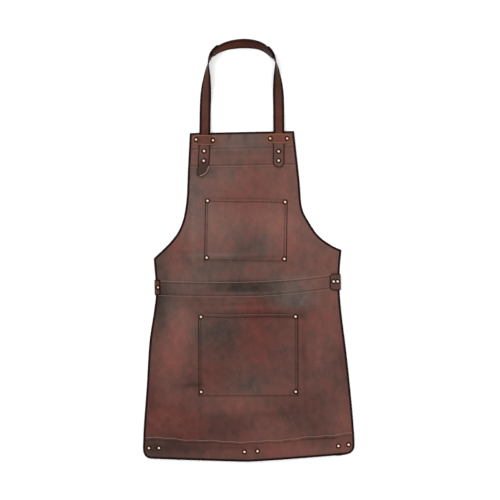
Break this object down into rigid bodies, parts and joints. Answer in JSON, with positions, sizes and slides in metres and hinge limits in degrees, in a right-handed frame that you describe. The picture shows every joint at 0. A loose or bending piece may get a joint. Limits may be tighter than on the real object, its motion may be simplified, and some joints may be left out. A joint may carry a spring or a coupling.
{
  "type": "welding apron",
  "caption": "Leather welding apron laid flat: bib and skirt with stitched bands, two patch pockets, riveted neck loop with pad, waist strap with snap tab.",
  "frame": {"origin": "middle of the laid-out apron's outline, on the surface it lies on", "axes": "+X to the right of the front side, +Y from the hem towards the neck loop, +Z out of the front side"},
  "size_m": [0.5868, 1.1704, 0.032],
  "materials": {
    "bib_leather": "oiled pull-up leather, greyish brown with reddish patches",
    "skirt_leather": "oiled pull-up leather, dark red-brown with charcoal patches",
    "trim_leather": "oiled leather with burnished dark edges",
    "pocket_leather": "oiled pull-up leather, mottled",
    "strap_leather": "thick strap leather, satin",
    "keeper_leather": "tan strap leather, satin",
    "pad_leather": "soft lining leather, satin",
    "copper_rivet": "antique copper, satin",
    "brass_snap": "antique brass, satin"
  },
  "bodies": {
    "skirt": {"hem_band": "trim_leather", "hem_rivet_1": "copper_rivet", "hem_rivet_2": "copper_rivet", "hem_rivet_3": "copper_rivet", "hem_rivet_4": "copper_rivet", "hem_rivet_5": "copper_rivet", "hem_rivet_6": "copper_rivet", "main_panel_lower": "skirt_leather", "skirt_pocket": "pocket_leather", "skirt_pocket_rivet_1": "copper_rivet", "skirt_pocket_rivet_2": "copper_rivet", "skirt_pocket_rivet_3": "copper_rivet", "skirt_pocket_rivet_4": "copper_rivet"},
    "bib": {"chest_pocket": "pocket_leather", "chest_pocket_rivet_1": "copper_rivet", "chest_pocket_rivet_2": "copper_rivet", "chest_pocket_rivet_3": "copper_rivet", "chest_pocket_rivet_4": "copper_rivet", "keeper_left": "keeper_leather", "keeper_left_rivet_1": "copper_rivet", "keeper_left_rivet_2": "copper_rivet", "keeper_right": "keeper_leather", "keeper_right_rivet_1": "copper_rivet", "keeper_right_rivet_2": "copper_rivet", "main_panel_upper": "bib_leather", "neck_strap_left_base": "strap_leather", "neck_strap_right_base": "strap_leather", "neck_stud_left_1": "copper_rivet", "neck_stud_left_2": "copper_rivet", "neck_stud_right_1": "copper_rivet", "neck_stud_right_2": "copper_rivet", "waist_band": "trim_leather", "waist_lip_rivet": "copper_rivet", "waist_snap_post_1": "brass_snap", "waist_snap_post_2": "brass_snap", "waist_strap": "strap_leather", "yoke": "trim_leather"},
    "neck_loop": {"neck_pad": "pad_leather", "neck_pad_rivet_left_1": "copper_rivet", "neck_pad_rivet_left_2": "copper_rivet", "neck_pad_rivet_right_1": "copper_rivet", "neck_pad_rivet_right_2": "copper_rivet", "neck_strap_left": "strap_leather", "neck_strap_right": "strap_leather"},
    "left_tail": {"neck_strap_left_tail": "strap_leather"},
    "right_tail": {"neck_strap_right_tail": "strap_leather"},
    "waist_tab": {"waist_tab": "strap_leather", "waist_snap_cap_1": "brass_snap", "waist_snap_cap_2": "brass_snap"}
  },
  "joints": [
    {"name": "bib_fold", "type": "hinge", "parent": "skirt", "child": "bib", "pos_m": [0, -0.13325, 0.0107], "axis": [1, 0, 0], "range_deg": [0, 170]},
    {"name": "neck_loop_fold", "type": "hinge", "parent": "bib", "child": "neck_loop", "pos_m": [0, 0.33275, 0.0161], "axis": [-1, 0, 0], "range_deg": [-150, 0]},
    {"name": "left_tail_lift", "type": "hinge", "parent": "bib", "child": "left_tail", "pos_m": [-0.1094, 0.2419, 0.0101], "axis": [-0.9903, 0.1392, 0], "range_deg": [0, 60]},
    {"name": "right_tail_lift", "type": "hinge", "parent": "bib", "child": "right_tail", "pos_m": [0.09828, 0.23848, 0.0101], "axis": [-0.9997, 0.0244, 0], "range_deg": [0, 30]},
    {"name": "waist_tab_open", "type": "hinge", "parent": "bib", "child": "waist_tab", "pos_m": [0.26286, -0.09045, 0.0083], "axis": [0, 1, 0], "range_deg": [0, 150]}
  ]
}
